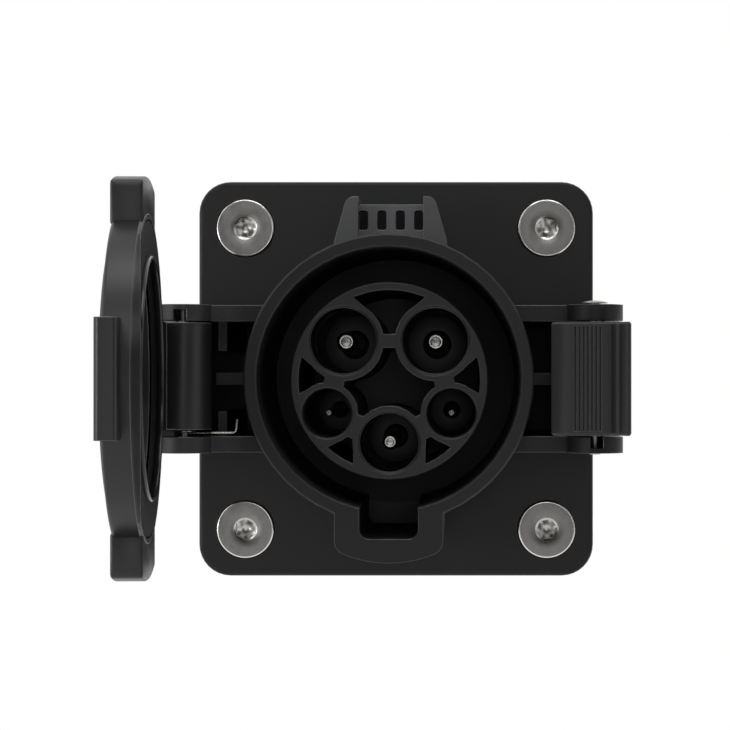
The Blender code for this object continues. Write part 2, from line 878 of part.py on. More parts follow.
def build_mount_screws(steel):
    """Countersunk screws with a hexagon socket, standing a little proud of the flange."""
    top = flange_thickness + screw_proud
    head = screw_head / 2
    shank = screw_thread / 2
    cone_end = flange_thickness - head + shank
    low = top - screw_length
    profile = [
        (0, top),
        (head - screw_edge, top),
        (head, top - screw_edge),
        (head, flange_thickness),
        (shank, cone_end),
        (shank, low + shank * 0.3),
        (shank * 0.7, low),
        (0, low),
    ]
    for name, x, y in corners_of_square(hole_pitch):
        screw = turned("mount_screw_" + name, profile, steel, location=(x, y, 0), steps=round_steps)
        socket = rod("socket_" + name, screw_socket / math.cos(math.pi / 6), top - screw_socket_depth,
                     top + past, location=(x, y, 0), steps=6)
        boolean(screw, [socket], "DIFFERENCE")
        shade(screw)


# Lid: a plate with two ears, hinge knuckle, latch tongue and inner recess

def ear_outline():
    """Upright bar with domed ends, which makes the two ears of the lid."""
    top = arched_end(lid_ear_width / 2, lid_ear_reach, lid_ear_arch, lid_ear_corner)
    return top + [(-x, -y) for x, y in top]


def disc_profile(inner, outer, top):
    """Section of the lid's round plate, with its rounded rim and raised middle."""
    rim = arc(lid_radius - lid_rim, outer - lid_rim, lid_rim, 90, 0, rim_step)
    crown = [(0, top), (lid_crown_radius - lid_crown_edge, top),
             (lid_crown_radius, top - lid_crown_edge), (lid_crown_radius, outer)]
    return crown + rim + [(lid_radius, inner + lid_edge), (lid_radius - lid_edge, inner), (0, inner)]


def build_lid(finish, rubber):
    """The lid, drawn closed with its hinge axis at its own origin."""
    shift = axis_offset
    inner = lid_inner - axis_height
    outer = lid_outer - axis_height
    top = lid_top - axis_height
    outline = [(x + shift, y) for x, y in ear_outline()]
    lid = slab("lid_shell", outline, inner + lid_ear_set, outer - lid_ear_set, finish, lid_hinge)
    round_edges(lid, lid_edge)
    joined = [turned("lid_disc", disc_profile(inner, outer, top), None, lid_hinge, (shift, 0, 0),
                     fine_steps)]
    knuckle = rounded_circle(0, 0, arm_boss)
    joined.append(slab("knuckle", knuckle, -knuckle_bottom, knuckle_top, None, lid_hinge,
                       upright=True))
    leaf_end = shift - lid_radius + leaf_overlap
    leaf = [(-arm_boss * 0.42, inner + leaf_thickness * 0.55), (0.0, inner),
            (leaf_end, inner), (leaf_end, inner + leaf_thickness), (0.002, inner + leaf_thickness)]
    joined.append(slab("leaf", leaf, -knuckle_bottom, knuckle_top, None, lid_hinge, upright=True))
    tongue_high = tongue_top - axis_height
    tongue_low = tongue_high - tongue_thickness
    tongue = rounded([(shift + tongue_root, tongue_low, 0), (shift + tongue_end, tongue_low, 0.0006),
                      (shift + tongue_end, tongue_high, 0.0009), (shift + tongue_root, tongue_high, 0)])
    joined.append(slab("tongue", tongue, -tongue_half_height, tongue_half_height, None, lid_hinge,
                       upright=True))
    joined.append(lid_lip_ring(shift, inner))
    boolean(lid, joined, "UNION")
    groove = lid_seal_outer + seat_gap
    groove_top = inner + lid_seal_thickness + seat_gap
    recess_top = inner + lid_recess
    recess = [(0, recess_top), (lid_recess_radius, recess_top), (lid_recess_radius, groove_top),
              (groove, groove_top), (groove, inner - past), (0, inner - past)]
    cuts = [turned("lid_recess", recess, None, lid_hinge, (shift, 0, 0), fine_steps)]
    cuts.append(rod("knuckle_bore", pin_diameter + 2 * running_gap, -knuckle_bottom - past,
                    knuckle_top + past, None, lid_hinge, along_y=True))
    spring_room = hinge_spring_turns * hinge_spring_pitch + 2 * bore_gap
    cuts.append(rod("spring_bore", spring_coil + spring_wire + 2 * bore_gap,
                    -knuckle_bottom - past, -knuckle_bottom + spring_room, None, lid_hinge,
                    along_y=True))
    boolean(lid, cuts, "DIFFERENCE")
    shade(lid)
    seal_inner = lid_recess_radius + seat_gap
    bead = seal_inner + lid_seal_bead
    seal = [(lid_seal_outer, inner + lid_seal_thickness), (lid_seal_outer, inner), (bead, inner),
            (bead, inner - lid_seal_proud), (seal_inner, inner - lid_seal_proud),
            (seal_inner, inner + lid_seal_thickness)]
    shade(turned("lid_seal", seal, rubber, lid_hinge, (shift, 0, 0), fine_steps))


def lid_lip_ring(shift, inner):
    """Lip that grows towards the latch side and closes round the end of the shroud."""
    within = shroud_outer / 2 + lid_lip_gap
    middle = inner + lid_edge
    ring = [(lid_radius, middle), (lid_radius, inner - lid_lip - past), (within, inner - lid_lip - past),
            (within, middle)]
    lip = turned("lid_lip", ring, None, lid_hinge, (shift, 0, 0), fine_steps)
    start = shift + lid_lip_start
    end = shift + lid_radius + lid_lip_gap
    wedge = slab("lip_wedge", [(start, inner), (end, inner - lid_lip), (end, middle + past),
                               (start, middle + past)],
                 -lid_radius - past, lid_radius + past, None, lid_hinge, upright=True)
    boolean(lip, [wedge], "INTERSECT")
    return lip


def rounded_circle(x, y, radius):
    """Full circle as an outline."""
    return arc(x, y, radius, 0, 360)[:-1]


# Latch lever: nose over the lid's tongue, ribbed finger pad and thumb lip

def lever_outline():
    """Section of the lever about its pin, in X and Z."""
    under = nose_underside - axis_height
    face = under + pad_rise
    wall = tongue_end + nose_overlap_gap + seat_gap - axis_offset
    lip = lip_reach
    valley = lip_reach - lip_width
    step = lip_width / 5
    knuckle = arc(0, 0, latch_knuckle, -10, -190)
    return (knuckle
            + [(wall, latch_knuckle), (wall, under), (-nose_reach, under)]
            + [(-nose_reach, under + step), (-nose_reach + 3 * step, face - step)]
            + [(-nose_reach + 6 * step, face), (valley - 2 * step, face)]
            + [(valley - step, face - lip_rise * 0.8), (valley, face - lip_rise)]
            + [(valley + step, face - lip_rise * 0.7), (lip - 3 * step, face + lip_rise * 0.3)]
            + [(lip - step, face + lip_rise), (lip, face + lip_rise * 0.4)]
            + [(lip - step * 0.6, face - pad_rise * 0.4), (lip - 3 * step, face - pad_rise * 1.2)]
            + [(latch_knuckle, latch_knuckle * 0.7)])


def build_lever(finish):
    """The lever, with grooves across its pad and room behind for its spring."""
    lever = slab("latch_lever", lever_outline(), -latch_half_height, latch_half_height, finish,
                 latch_axis, upright=True)
    round_edges(lever, 0.00035, segments=1, angle=50)
    face = nose_underside - axis_height + pad_rise
    cuts = []
    for i in range(rib_count):
        left = rib_start - axis_offset + i * rib_pitch
        outline = box_outline(left, left + rib_pitch * 0.45, face - rib_depth, face + past)
        cuts.append(slab("pad_groove_%d" % (i + 1), outline, -rib_half_height, rib_half_height,
                         None, latch_axis, upright=True))
    cuts.append(rod("latch_bore", pin_diameter + 2 * running_gap, -latch_half_height - past,
                    latch_half_height + past, None, latch_axis, along_y=True))
    room = latch_cavity_half_height
    reach = spring_coil / 2 + spring_wire / 2 + bore_gap
    cavity = box_outline(-latch_knuckle - past, reach, -latch_knuckle - past, reach)
    cuts.append(slab("spring_room", cavity, -room, room, None, latch_axis, upright=True))
    boolean(lever, cuts, "DIFFERENCE")
    shade(lever)


# Pins and springs

def build_pins(steel):
    """Plain hinge pin and headed latch pin."""
    radius = pin_diameter / 2
    end = arm_outer - seat_gap
    chamfer = radius * 0.3
    plain = [(0, end), (radius - chamfer, end), (radius, end - chamfer), (radius, -end + chamfer),
             (radius - chamfer, -end), (0, -end)]
    shade(turned("hinge_pin", plain, steel, location=(-axis_offset, 0, axis_height),
                 steps=small_steps, along_y=True))
    head = pin_head / 2
    under = arm_outer + seat_gap
    dome = [(0, under + pin_head_height), (head * 0.5, under + pin_head_height * 0.85),
            (head * 0.86, under + pin_head_height * 0.45), (head, under)]
    low = -arm_outer - pin_stub
    headed = dome + [(radius, under), (radius, low + chamfer), (radius - chamfer, low), (0, low)]
    shade(turned("latch_pin", headed, steel, location=(axis_offset, 0, axis_height),
                 steps=small_steps, along_y=True))


def helix(x, z, start, turns, pitch, first_angle, per_turn=8):
    """Points of a coil wound clockwise about a pin, rising along Y."""
    points = []
    radius = spring_coil / 2
    for i in range(int(turns * per_turn) + 1):
        angle = math.radians(first_angle - 360 * i / per_turn)
        points.append((x + radius * math.cos(angle), start + pitch * i / per_turn,
                       z + radius * math.sin(angle)))
    return points


def build_springs(steel):
    """Torsion springs round the two pins."""
    radius = spring_coil / 2
    leg_height = -arm_inner + seat_gap + spring_wire / 2
    x = -axis_offset
    z = axis_height
    leg = [(-0.0261, leg_height + 0.0024, z - radius), (-0.0262, leg_height + 0.0014, z - radius),
           (-0.0266, leg_height + 0.0005, z - radius), (-0.0274, leg_height, z - radius),
           (-0.0310, leg_height, z - radius)]
    coil = helix(x, z, leg_height, hinge_spring_turns, hinge_spring_pitch, -90)
    shade(wire("hinge_spring", leg + coil, spring_wire, steel))
    x = axis_offset
    rest = gusset_front + seat_gap + spring_wire / 2
    start = -gusset_thickness / 4
    coil = helix(x, z, start, latch_spring_turns, latch_spring_pitch, 180)
    low_leg = [(gusset_reach - 0.0010, start, rest), (gusset_reach - 0.0004, start, rest + 0.0002),
               (x - radius - 0.0008, start, z - 0.0050), (x - radius, start, z - 0.0030)]
    shade(wire("latch_spring", low_leg + coil, spring_wire, steel))


# Build

housing_plastic = material("housing_plastic", (0.018, 0.018, 0.019), 0.42)
core_plastic = material("core_plastic", (0.022, 0.022, 0.023), 0.36)
lid_plastic = material("lid_plastic", (0.022, 0.022, 0.023), 0.40)
lever_plastic = material("lever_plastic", (0.024, 0.024, 0.025), 0.45)
seal_rubber = material("seal_rubber", (0.010, 0.010, 0.010), 0.70)
pin_silver = material("pin_silver", (0.72, 0.71, 0.69), 0.25, 1.0)
stainless_steel = material("stainless_steel", (0.50, 0.48, 0.46), 0.35, 1.0)

build_housing(housing_plastic)
build_insulator(core_plastic)
build_carrier(core_plastic)
build_contacts(pin_silver)
build_seals(seal_rubber)
build_retainer(housing_plastic, stainless_steel)
build_mount_screws(stainless_steel)
build_lid(lid_plastic, seal_rubber)
build_lever(lever_plastic)
build_pins(stainless_steel)
build_springs(stainless_steel)
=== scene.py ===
"""Looks of the vehicle charging inlet: camera, light, materials and the finer pieces."""
import json
import math
from collections import namedtuple

import bmesh
import bpy
from mathutils import Matrix, Vector


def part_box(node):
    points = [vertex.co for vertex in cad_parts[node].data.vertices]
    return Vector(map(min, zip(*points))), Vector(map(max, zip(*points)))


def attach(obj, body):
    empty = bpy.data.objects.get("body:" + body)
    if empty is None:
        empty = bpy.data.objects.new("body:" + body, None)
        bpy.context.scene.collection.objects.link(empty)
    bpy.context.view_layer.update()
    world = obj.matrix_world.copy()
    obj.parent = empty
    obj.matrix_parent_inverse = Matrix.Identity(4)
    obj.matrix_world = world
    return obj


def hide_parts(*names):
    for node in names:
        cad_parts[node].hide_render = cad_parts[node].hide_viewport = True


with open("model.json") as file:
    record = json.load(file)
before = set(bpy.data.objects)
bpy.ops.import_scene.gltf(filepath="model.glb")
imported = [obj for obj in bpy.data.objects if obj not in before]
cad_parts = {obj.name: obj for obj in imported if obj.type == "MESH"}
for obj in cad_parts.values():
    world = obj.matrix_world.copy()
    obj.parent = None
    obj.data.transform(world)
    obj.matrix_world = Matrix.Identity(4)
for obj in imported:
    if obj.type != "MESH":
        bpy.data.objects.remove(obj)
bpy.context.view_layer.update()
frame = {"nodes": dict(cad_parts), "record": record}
nodes = frame["nodes"]

# Places on the object, in metres and degrees
HINGE = (-0.0351, -0.0473, 0)
LATCH = (0.0351, -0.0473, 0)
LID_OPEN = 87
LID_INNER, LID_OUTER = 0.0025, 0.0072  # the lid's faces, in front of its pin

# Radii of each contact's nose, of its body and of its well
CONTACTS = {"line_1": (0.00129, 0.0018, 0.0058), "line_2": (0.00129, 0.0018, 0.0058),
            "ground": (0.00100, 0.0014, 0.0052), "pilot": (0.00046, 0.00075, 0.0042),
            "proximity": (0.00046, 0.00075, 0.0042)}

WIRE, COIL = 0.0005, 0.0019  # thickness of both springs' wire and radius of their coils
CREASE = math.radians(35)  # edges sharper than this stay sharp


# Camera: level, square to the flange, with the photograph's framing

def look():
    """Camera in front of the inlet, a little to the right of its axis."""
    data = bpy.data.cameras.new("camera")
    data.lens = 104.15
    data.sensor_width = 36
    data.shift_x = -0.1233
    data.shift_y = 0.0189
    data.clip_start = 0.01
    camera = bpy.data.objects.new("camera", data)
    camera.location = (0.01125, -0.4075, 0)
    camera.rotation_euler = (math.radians(90), 0, 0)
    bpy.context.scene.collection.objects.link(camera)
    bpy.context.scene.camera = camera


# Nodes of a material

class Nodes:
    """Short way to add and link the nodes of one tree."""

    def __init__(self, tree):
        self.tree = tree

    def feed(self, node, values):
        """Links or sets the node's inputs."""
        for key, value in values.items():
            if isinstance(value, bpy.types.NodeSocket):
                self.tree.links.new(value, node.inputs[key])
            else:
                node.inputs[key].default_value = value

    def add(self, kind, values=None, **settings):
        """New node with its settings and inputs."""
        node = self.tree.nodes.new("ShaderNode" + kind)
        for key, value in settings.items():
            setattr(node, key, value)
        self.feed(node, values or {})
        return node

    def math(self, operation, first, second=0.0):
        """Result of an operation on two values."""
        return self.add("Math", {0: first, 1: second}, operation=operation).outputs[0]

    def spread(self, value, low, high, start=0.0, end=1.0):
        """The value's range from start to end mapped to low and high."""
        return self.add("MapRange", {"Value": value, "From Min": start, "From Max": end,
                                     "To Min": low, "To Max": high}).outputs["Result"]

    def blend(self, factor, first, second):
        """Colour between two colours, which are the Mix node's inputs 6 and 7."""
        return self.add("Mix", {"Factor": factor, 6: first, 7: second},
                        data_type="RGBA").outputs[2]

    def noise(self, coordinates, scale, detail=2.0, roughness=0.5):
        """Noise from 0 to 1, mostly near 0.5."""
        return self.add("TexNoise", {"Vector": coordinates, "Scale": scale, "Detail": detail,
                                     "Roughness": roughness}).outputs["Fac"]


def new_material(name):
    """Material with its nodes and its Principled shader."""
    made = bpy.data.materials.new(name)
    made.use_nodes = True
    return made, Nodes(made.node_tree), made.node_tree.nodes["Principled BSDF"]


def tint(colour, factor):
    """Colour made darker or lighter by a factor."""
    return (*(c * factor for c in colour), 1)


def off_axis(n, split):
    """Distance from the Y axis, from separated coordinates."""
    flat = n.add("CombineXYZ", {"X": split.outputs["X"], "Y": split.outputs["Z"]}).outputs[0]
    return n.add("VectorMath", {0: flat}, operation="LENGTH").outputs["Value"]


def between(n, value, start, end, soft=0.0001):
    """1 where the value lies from start to end and 0 elsewhere."""
    return n.math("MULTIPLY", n.spread(value, 0, 1, start - soft, start + soft),
                  n.spread(value, 1, 0, end - soft, end + soft))


def region(n, where, place, soft=0.0001):
    """1 in a box (low, high) or a round space (radius, start, end) on the resting object."""
    split = n.add("SeparateXYZ", {0: where})
    if len(place) == 2:
        factor = 1.0
        for axis, start, end in zip("XYZ", *place):
            factor = n.math("MULTIPLY", factor, between(n, split.outputs[axis], start, end, soft))
        return factor
    radius, start, end = place
    return n.math("MULTIPLY", between(n, off_axis(n, split), -1, radius),
                  between(n, split.outputs["Y"], start, end))


# Patch of painted light or shade: region of the resting object, the factor on the colour in it,
# the softness of its edge and the share of the shine that stays
Patch = namedtuple("Patch", "place factor soft shine", defaults=(0.0001, 1.0))


def moulded_plastic(name, colour, roughness, grain=0.000006, specular=0.32, edge=0.00025,
                    edge_highlight_level=0.85, patches=(), turn=0.0):
    """Black moulded plastic: spark-eroded grain, faint flow marks, dust and painted edge
    highlights.

    With turn, the patches of painted light and shade lie on the lid turned shut by so many degrees.
    """
    made, n, shader = new_material(name)
    where = n.add("TexCoord").outputs["Object"]
    fine = n.noise(where, scale=3200, detail=3, roughness=0.6)
    cloud = n.noise(where, scale=45, detail=3, roughness=0.55)
    speck = n.spread(n.noise(where, scale=900, detail=4, roughness=0.7), 0, 1, 0.68, 0.80)
    base = n.blend(cloud, tint(colour, 0.86), tint(colour, 1.14))
    base = n.blend(n.math("MULTIPLY", speck, 0.22), base, tint(colour, 2.4))
    if turn:
        where = n.add("VectorRotate", {"Vector": where, "Center": HINGE,
                                       "Angle": math.radians(turn)},
                      rotation_type="Z_AXIS").outputs[0]
    shine = 1.0
    # Each patch paints light or shade into the colour; painted shade also lowers the shine
    for patch in patches:
        inside = region(n, where, patch.place, patch.soft)
        if patch.shine < 1:
            shine = n.math("MULTIPLY", shine, n.spread(inside, 1, patch.shine))
        other = n.blend(cloud, tint(colour, patch.factor * 0.9), tint(colour, patch.factor * 1.1))
        base = n.blend(inside, base, other)
    unevenness = n.math("ADD", n.math("MULTIPLY", fine, 0.35), n.math("MULTIPLY", cloud, 0.65))
    rough = n.spread(unevenness, roughness - 0.07, roughness + 0.07, 0.3, 0.7)
    rounding = n.add("Bevel", {"Radius": edge}, samples=6).outputs[0]
    flat = n.add("NewGeometry").outputs["Normal"]
    turned = n.add("VectorMath", {0: rounding, 1: flat}, operation="DOT_PRODUCT").outputs["Value"]
    # Round edges: painted highlight in the colour, with more shine and less roughness
    edge_highlight = n.spread(turned, 1, 0, 0.80, 0.97)
    gloss = n.math("ADD", specular, n.math("MULTIPLY", edge_highlight, 1.2 * edge_highlight_level))
    bump = n.add("Bump", {"Height": fine, "Distance": grain, "Strength": 1.0, "Normal": rounding})
    n.feed(shader, {"Base Color": n.blend(n.math("MULTIPLY", edge_highlight, edge_highlight_level), base, tint(colour, 9)),
                    "Roughness": n.math("SUBTRACT", rough, n.math("MULTIPLY", edge_highlight, 0.20)),
                    "Specular IOR Level": n.math("MULTIPLY", gloss, shine),
                    "Normal": bump.outputs[0]})
    return made


def rubber(name, colour):
    """Dull sealing rubber with a soft, slightly dusty surface."""
    made, n, shader = new_material(name)
    where = n.add("TexCoord").outputs["Object"]
    fine = n.noise(where, scale=2600, detail=4, roughness=0.65)
    cloud = n.noise(where, scale=120)
    bump = n.add("Bump", {"Height": fine, "Distance": 0.000012, "Strength": 1.0})
    n.feed(shader, {"Base Color": n.blend(cloud, tint(colour, 0.8), tint(colour, 1.4)),
                    "Roughness": n.spread(fine, 0.62, 0.82, 0.3, 0.7),
                    "Specular IOR Level": 0.3,
                    "Normal": bump.outputs[0]})
    return made


def turned_metal(name, colour, roughness, pitch=0.00011, depth=0.0000016, satin=None):
    """Turned metal: fine rings round the piece's own Y axis, with faint handling marks and pits.

    Where two radii are given, the socket inside the first is painted lighter and the rim outside
    the second is smoother and painted lighter: painted highlights on the socket's facets and rim.
    """
    # Lighter colours for the socket and the rim: painted highlights
    light, rim_highlight, border = (0.58, 0.57, 0.55, 1), (0.80, 0.79, 0.76, 1), 0.00005
    made, n, shader = new_material(name)
    where = n.add("TexCoord").outputs["Object"]
    radius = off_axis(n, n.add("SeparateXYZ", {0: where}))
    wander = n.math("MULTIPLY", n.noise(where, scale=900), pitch * 1.5)
    turn = n.math("SINE", n.math("MULTIPLY", n.math("ADD", radius, wander), 2 * math.pi / pitch))
    grain = n.noise(where, scale=5200, detail=4, roughness=0.7)
    marks = n.noise(where, scale=420, detail=4, roughness=0.6)
    pits = n.spread(n.noise(where, scale=1500), 0, 1, 0.66, 0.74)
    shade = n.blend(n.spread(marks, 0, 1, 0.35, 0.75), tint(colour, 0.82), tint(colour, 1.06))
    shade = n.blend(n.math("MULTIPLY", pits, 0.5), shade, tint(colour, 0.35))
    rough = n.spread(marks, roughness - 0.06, roughness + 0.10, 0.3, 0.7)
    if satin:
        inner, outer = satin
        rim = n.spread(radius, 0, 1, outer - border, outer + border)
        socket = n.spread(radius, 1, 0, inner - border, inner + border)
        shade = n.blend(socket, n.blend(rim, shade, rim_highlight), light)
        rough = n.math("MULTIPLY", rough, n.spread(rim, 1, 0.5))
        rough = n.math("MULTIPLY", rough, n.spread(socket, 1, 0.8))
    height = n.math("ADD", n.math("MULTIPLY", turn, 0.5), n.math("MULTIPLY", grain, 1.4))
    bump = n.add("Bump", {"Height": height, "Distance": depth, "Strength": 1.0})
    n.feed(shader, {"Base Color": shade, "Roughness": rough, "Metallic": 1.0,
                    "Normal": bump.outputs[0]})
    return made


# Painted light and shade, on the resting object unless it says otherwise

# Painted light: the catch's face, cheeks and plate painted lighter than the flange
catch_face_painted_light = Patch(((-0.0100, -0.0395, 0.0233), (0.0100, -0.0351, 0.0325)), 10.0)
catch_plate_painted_light = Patch(((-0.0058, -0.0359, 0.0225), (0.0058, -0.0349, 0.0310)), 14.0)
# Painted shade, with less shine, in the hollow behind the catch's slots
catch_hollow_painted_shade = Patch(((-0.0058, -0.0300, 0.0225), (0.0058, -0.0195, 0.0312)), 0.3, shine=0.60)
# Painted light on the arms beside the lid, which the lid keeps from the left lamp
arms_left_painted_light = Patch(((-0.0450, -0.0560, -0.0150), (-0.0262, -0.0400, 0.0150)), 3.4, soft=0.0015)
# Painted shade on the arms beside the lever
arms_right_painted_shade = Patch(((0.0300, -0.0540, -0.0130), (0.0420, -0.0200, 0.0130)), 0.5)
# Painted light in the shroud's bore, where little light reaches
bore = Patch((0.0230, -0.0480, -0.0102), 2.5)
# Painted shade, with less shine, on the floor round the core
bore_floor_painted_shade = Patch((0.0232, -0.0104, -0.0060), 0.39, shine=0.69)
# Painted light on the walls of the core's wells, where little light reaches
well_walls_painted_light = Patch((0.0180, -0.0455, -0.0060), 3.5)
# Painted shade, with less shine, on the inner faces of the lid, its rim and its ears
lid_face_painted_shade = Patch(((-0.0270, -0.0500, -0.0400), (0.0300, -0.0470, 0.0400)), 0.35, shine=0.65)
ear_face_painted_shade = Patch(((-0.0300, -0.0028, -0.0400), (0.0300, -0.0010, 0.0400)), 0.35, shine=0.65)

# Finishes, with linear colours

housing_plastic = moulded_plastic("housing_plastic", (0.0070, 0.0071, 0.0074), 0.46,
                                  patches=(catch_face_painted_light, catch_plate_painted_light, catch_hollow_painted_shade, bore,
                                           bore_floor_painted_shade, arms_left_painted_light, arms_right_painted_shade))
core_plastic = moulded_plastic("core_plastic", (0.0110, 0.0110, 0.0114), 0.40,
                               patches=(well_walls_painted_light,))
lid_black = (0.0112, 0.0114, 0.0122)
lid_plastic = moulded_plastic("lid_plastic", lid_black, 0.37, specular=0.46,
                              patches=(lid_face_painted_shade,), turn=LID_OPEN)
ear_plastic = moulded_plastic("ear_plastic", lid_black, 0.37, specular=0.46, patches=(ear_face_painted_shade,))
lever_plastic = moulded_plastic("lever_plastic", (0.0175, 0.0177, 0.0184), 0.48, edge_highlight_level=0.35)
seal_rubber = rubber("seal_rubber", (0.0060, 0.0060, 0.0060))
collar_rubber = moulded_plastic("collar_rubber", (0.0240, 0.0240, 0.0250), 0.42, specular=0.55)
rib_rubber = moulded_plastic("rib_rubber", (0.0070, 0.0070, 0.0072), 0.22, grain=0.000002,
                             specular=0.5)
silver = turned_metal("contact_silver", (0.50, 0.49, 0.47), 0.22)
dull_silver = turned_metal("dull_silver", (0.30, 0.29, 0.28), 0.38)
stainless = turned_metal("stainless_steel", (0.46, 0.45, 0.43), 0.34)
# The screws' sockets and rims carry painted highlights
screw_steel = turned_metal("screw_steel", (0.245, 0.235, 0.228), 0.36, satin=(0.00225, 0.00515))
spring_steel = turned_metal("spring_steel", (0.50, 0.46, 0.42), 0.26)

finishes = {"housing_plastic": housing_plastic, "core_plastic": core_plastic,
            "lid_plastic": lid_plastic, "lever_plastic": lever_plastic,
            "seal_rubber": seal_rubber, "contact_silver": silver, "stainless_steel": stainless}


def dress_nodes():
    """Gives every CAD node the finish of its own slot."""
    for part in frame["record"]["subparts"]:
        node = nodes[part["node"]]
        finish = finishes[part["material_slot"]]
        if node.data.materials:
            for i in range(len(node.data.materials)):
                node.data.materials[i] = finish
        else:
            node.data.materials.append(finish)


# Shading of the CAD nodes

def edge_smoothing(angle):
    """Node group that shades smooth across every edge flatter than the angle."""
    group = bpy.data.node_groups.new("edge_smoothing", "GeometryNodeTree")
    group.interface.new_socket("Geometry", in_out="INPUT", socket_type="NodeSocketGeometry")
    group.interface.new_socket("Geometry", in_out="OUTPUT", socket_type="NodeSocketGeometry")
    enter = group.nodes.new("NodeGroupInput")
    leave = group.nodes.new("NodeGroupOutput")
    edge_angle = group.nodes.new("GeometryNodeInputMeshEdgeAngle")
    small = group.nodes.new("FunctionNodeCompare")
    small.operation = "LESS_THAN"
    small.inputs["B"].default_value = angle
    faces = group.nodes.new("GeometryNodeSetShadeSmooth")
    edges = group.nodes.new("GeometryNodeSetShadeSmooth")
    edges.domain = "EDGE"
    group.links.new(enter.outputs[0], faces.inputs["Geometry"])
    group.links.new(faces.outputs[0], edges.inputs["Geometry"])
    group.links.new(edge_angle.outputs["Unsigned Angle"], small.inputs["A"])
    group.links.new(small.outputs["Result"], edges.inputs["Shade Smooth"])
    group.links.new(edges.outputs[0], leave.inputs[0])
    return group


def smooth_nodes():
    """Welds the CAD nodes' seams and shades their round faces smooth."""
    group = edge_smoothing(math.radians(32))
    for node in nodes.values():
        weld = node.modifiers.new("weld", "WELD")
        weld.merge_threshold = 0.000002
        smooth = node.modifiers.new("smooth", "NODES")
        smooth.node_group = group
        normals = node.modifiers.new("normals", "WEIGHTED_NORMAL")
        normals.keep_sharp = True
        normals.weight = 100


# Meshes built from rings of points

def shade_round(mesh):
    """Shades the mesh smooth but for its sharp edges."""
    mesh.polygons.foreach_set("use_smooth", [True] * len(mesh.polygons))
    mesh.set_sharp_from_angle(angle=CREASE)


def middle(box):
    """Middle of a box given by its two corners."""
    return [(a + b) / 2 for a, b in zip(*box)]


def skin(name, rings):
    """Closed skin over rings of points; a ring of one point is a tip."""
    points = []
    starts = []
    for ring in rings:
        starts.append(len(points))
        points += ring
    faces = []
    for i in range(len(rings) - 1):
        here, ahead = len(rings[i]), len(rings[i + 1])
        a, b = starts[i], starts[i + 1]
        for j in range(max(here, ahead)):
            k = (j + 1) % max(here, ahead)
            if here == 1:
                faces.append((a, b + j, b + k))
            elif ahead == 1:
                faces.append((a + j, b, a + k))
            else:
                faces.append((a + j, b + j, b + k, a + k))
    mesh = bpy.data.meshes.new(name)
    mesh.from_pydata(points, [], faces)
    shape = bmesh.new()
    shape.from_mesh(mesh)
    bmesh.ops.recalc_face_normals(shape, faces=shape.faces)
    shape.to_mesh(mesh)
    shape.free()
    shade_round(mesh)
    return mesh


def piece(name, mesh, finish, slot, body, where, *replaced):
    """Finer piece that rides a body and may stand for CAD nodes."""
    mesh.materials.append(finish)
    item = bpy.data.objects.new(name, mesh)
    item.location = where
    bpy.context.scene.collection.objects.link(item)
    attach(item, body)
    if replaced:
        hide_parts(*replaced)
    return item


def ring(radius, height, steps, upright=False):
    """Ring round the axis to the viewer, or round the vertical axis when upright."""
    points = []
    for i in range(steps):
        angle = 2 * math.pi * i / steps
        r = radius(angle) if callable(radius) else radius
        h = height(angle) if callable(height) else height
        a, b = r * math.cos(angle), r * math.sin(angle)
        points.append((a, b, h) if upright else (a, -h, b))
    return points


def tip(height, upright=False):
    """Ring of one point on the axis."""
    return [(0, 0, height)] if upright else [(0, -height, 0)]


def bend(radius, height, size, start, end, count=5):
    """Profile points on an arc of this size about (radius, height), in degrees."""
    points = []
    for i in range(count + 1):
        angle = math.radians(start + (end - start) * i / count)
        points.append((radius + size * math.cos(angle), height + size * math.sin(angle)))
    return points


def thread(radius, depth, pitch, high, low, steps=48, per_turn=8):
    """Rings of a screw thread that fades in below its head and out at its end."""
    rings = []
    count = round((high - low) / pitch * per_turn)
    for i in range(count + 1):
        height = high - (high - low) * i / count

        def crest(angle, height=height):
            phase = (height / pitch + angle / (2 * math.pi)) % 1.0
            groove = min(1.0, 1.6 * abs(2 * phase - 1))
            fade = min(1.0, (high - height) / pitch, (height - low) / pitch + 0.2)
            return radius - depth * (1 - groove) * max(0.0, fade)

        rings.append(ring(crest, height, steps))
    return rings


def prism(name, outline, low, high, edge, upright=False):
    """Prism with rounded edges, its outline seen by the viewer, or from above when upright."""
    shape = bmesh.new()
    verts = [shape.verts.new((x, y, low) if upright else (x, -low, y)) for x, y in outline]
    base = shape.faces.new(verts)
    shift = (0, 0, high - low) if upright else (0, low - high, 0)
    raised = bmesh.ops.extrude_face_region(shape, geom=[base])["geom"]
    top = [v for v in raised if isinstance(v, bmesh.types.BMVert)]
    bmesh.ops.translate(shape, vec=shift, verts=top)
    bmesh.ops.recalc_face_normals(shape, faces=shape.faces)
    sharp = [e for e in shape.edges if e.calc_face_angle(0) > CREASE]
    bmesh.ops.bevel(shape, geom=sharp, offset=edge, segments=3, profile=0.5, affect="EDGES")
    mesh = bpy.data.meshes.new(name)
    shape.to_mesh(mesh)
    shape.free()
    shade_round(mesh)
    return mesh


def closed_ring(name, profile, steps=128):
    """Ring with a closed section, its last ring welded to its first."""
    rings = [ring(r, h, steps) for r, h in profile]
    mesh = skin(name, rings + [rings[0]])
    shape = bmesh.new()
    shape.from_mesh(mesh)
    bmesh.ops.remove_doubles(shape, verts=shape.verts, dist=0.0000005)
    bmesh.ops.recalc_face_normals(shape, faces=shape.faces)
    shape.to_mesh(mesh)
    shape.free()
    return mesh


# Mounting screws: turned head, hexagon socket with a lead-in, threaded shank

def hexagon(across_flats, turn):
    """Distance from the middle to a hexagon's outline, by angle."""
    def reach(angle):
        within = (angle - turn) % (math.pi / 3) - math.pi / 6
        return across_flats / 2 / math.cos(within)
    return reach


